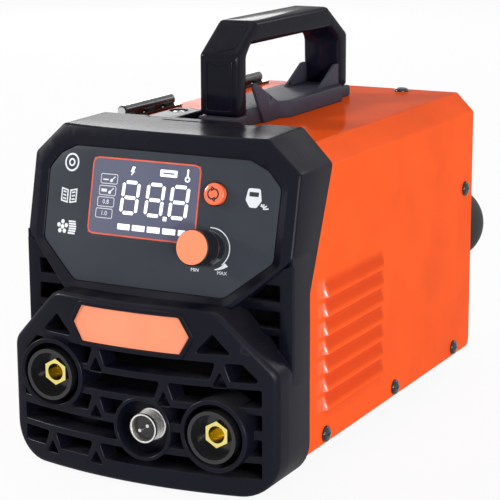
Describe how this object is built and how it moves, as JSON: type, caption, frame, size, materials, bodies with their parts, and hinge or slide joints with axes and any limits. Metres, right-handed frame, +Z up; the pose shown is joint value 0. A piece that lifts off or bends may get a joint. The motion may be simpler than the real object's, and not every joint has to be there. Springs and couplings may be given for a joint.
{
  "type": "wire-feed arc welding machine",
  "caption": "Compact box-shaped wire-feed and stick welder with a leaned control face, grille bumper, twist sockets, side door over the wire bay and top handle",
  "frame": {"origin": "on the floor, under the centre of the machine's bounding box", "axes": "+Z up, front faces -Y, +X to the right when facing the front"},
  "size_m": [0.159, 0.3244, 0.2323],
  "materials": {
    "orange_paint": "fine satin powder coat, orange red",
    "black_plastic": "fine-grained matt black moulding",
    "gloss_black": "smooth gloss black moulding",
    "membrane": "satin charcoal film",
    "window": "smoked acrylic",
    "display": "lit white segments on black",
    "orange_plastic": "smooth orange moulding",
    "brass": "machined brass",
    "zinc_steel": "zinc-plated sheet",
    "nickel": "nickel plate",
    "black_screw": "black oxide",
    "rubber": "black rubber",
    "pcb": "green solder mask",
    "aluminium": "extruded aluminium",
    "capacitor": "printed-free dark sleeve",
    "ferrite": "matt ferrite",
    "copper": "enamelled copper wire",
    "rocker_red": "red rocker"
  },
  "bodies": {
    "case": {"chassis_tray": "black_screw", "inner_front_panel": "black_screw", "rear_panel": "zinc_steel", "partition_plate": "zinc_steel", "top_cover": "orange_paint", "front_bezel": "black_plastic", "control_membrane": "membrane", "display_window": "window", "display_board": "pcb", "led_display": "display", "potentiometer": "zinc_steel", "badge_plate": "orange_paint", "gun_socket_shell": "black_plastic", "gun_socket_contact": "brass", "ground_socket_shell": "black_plastic", "ground_socket_contact": "brass", "connector_nuts": "zinc_steel", "signal_connector_shell": "nickel", "signal_connector_insert": "black_plastic", "signal_connector_pins": "nickel", "handle_base": "black_plastic", "handle_grip": "gloss_black", "case_screws": "black_screw", "hinge_fixed_leaves": "black_screw", "hinge_pins": "zinc_steel", "rubber_feet": "rubber", "fan_frame": "black_plastic", "fan_guard": "black_screw", "switch_housing": "black_plastic", "mains_boot": "rubber", "mains_boot_nut": "black_plastic", "main_board": "pcb", "board_standoffs": "brass", "heatsinks": "aluminium", "power_transistors": "black_screw", "bulk_capacitors": "capacitor", "transformer_core": "ferrite", "transformer_windings": "copper", "output_choke": "copper", "spool_hub": "black_plastic", "feeder_plate": "aluminium", "feed_motor": "zinc_steel", "wire_guides": "brass"},
    "door": {"side_door": "orange_paint", "hinge_door_leaves": "black_screw"},
    "latch": {"latch_knob": "black_plastic", "latch_cam": "zinc_steel"},
    "knob": {"current_knob": "gloss_black", "knob_cap": "orange_plastic"},
    "button": {"mode_button": "orange_plastic"},
    "rocker": {"switch_rocker": "rocker_red"},
    "fan": {"fan_rotor": "black_plastic"},
    "spool": {"wire_spool": "black_plastic", "wire_winding": "copper"},
    "spindle_nut": {"spool_nut": "black_plastic"},
    "feed_roll": {"drive_roll": "zinc_steel"},
    "arm": {"pressure_arm": "black_plastic"},
    "idler": {"pressure_roll": "zinc_steel"},
    "tensioner": {"tension_arm": "zinc_steel"},
    "tension_cap": {"tension_knob": "black_plastic"}
  },
  "joints": [
    {"name": "door_swing", "type": "hinge", "parent": "case", "child": "door", "pos_m": [-0.0675, 0.01695, 0.17905], "axis": [0, 1, 0], "range_deg": [0, 110]},
    {"name": "latch_turn", "type": "hinge", "parent": "door", "child": "latch", "pos_m": [-0.077, 0.01695, 0.044], "axis": [-1, 0, 0], "range_deg": [0, 90]},
    {"name": "knob_turn", "type": "hinge", "parent": "case", "child": "knob", "pos_m": [0.035, -0.14079, 0.12831], "axis": [0, 0.9746, -0.2241], "range_deg": [0, 300]},
    {"name": "button_press", "type": "slide", "parent": "case", "child": "button", "axis": [0, 0.9746, -0.2241], "range_m": [0, 0.001], "stiffness_N_per_m": 300, "springref_m": -0.001},
    {"name": "switch_rock", "type": "hinge", "parent": "case", "child": "rocker", "pos_m": [0.045, 0.12075, 0.14], "axis": [-1, 0, 0], "range_deg": [0, 16]},
    {"name": "fan_spin", "type": "hinge", "parent": "case", "child": "fan", "pos_m": [0.0095, 0.10895, 0.0475], "axis": [0, 1, 0], "continuous": true},
    {"name": "spool_spin", "type": "hinge", "parent": "case", "child": "spool", "pos_m": [-0.048, 0.05395, 0.095], "axis": [1, 0, 0], "continuous": true},
    {"name": "spool_nut_turn", "type": "hinge", "parent": "case", "child": "spindle_nut", "pos_m": [-0.0715, 0.05395, 0.095], "axis": [-1, 0, 0], "continuous": true},
    {"name": "drive_roll_spin", "type": "hinge", "parent": "case", "child": "feed_roll", "pos_m": [-0.0483, -0.06605, 0.0431], "axis": [1, 0, 0], "continuous": true},
    {"name": "pressure_arm_lift", "type": "hinge", "parent": "case", "child": "arm", "pos_m": [-0.056, -0.08905, 0.073], "axis": [1, 0, 0], "range_deg": [0, 60]},
    {"name": "pressure_roll_spin", "type": "hinge", "parent": "arm", "child": "idler", "pos_m": [-0.0483, -0.06605, 0.0654], "axis": [1, 0, 0], "continuous": true},
    {"name": "tension_arm_swing", "type": "hinge", "parent": "case", "child": "tensioner", "pos_m": [-0.05625, -0.04105, 0.042], "axis": [1, 0, 0], "range_deg": [0, 50]},
    {"name": "tension_knob_turn", "type": "hinge", "parent": "tensioner", "child": "tension_cap", "pos_m": [-0.05625, -0.01041, 0.06771], "axis": [0, 0.766, 0.6428], "continuous": true}
  ],
  "couplings": [
    {"joint": "drive_roll_spin", "follows": "spool_spin", "ratio": 3.52},
    {"joint": "pressure_roll_spin", "follows": "spool_spin", "ratio": -4.8889}
  ]
}
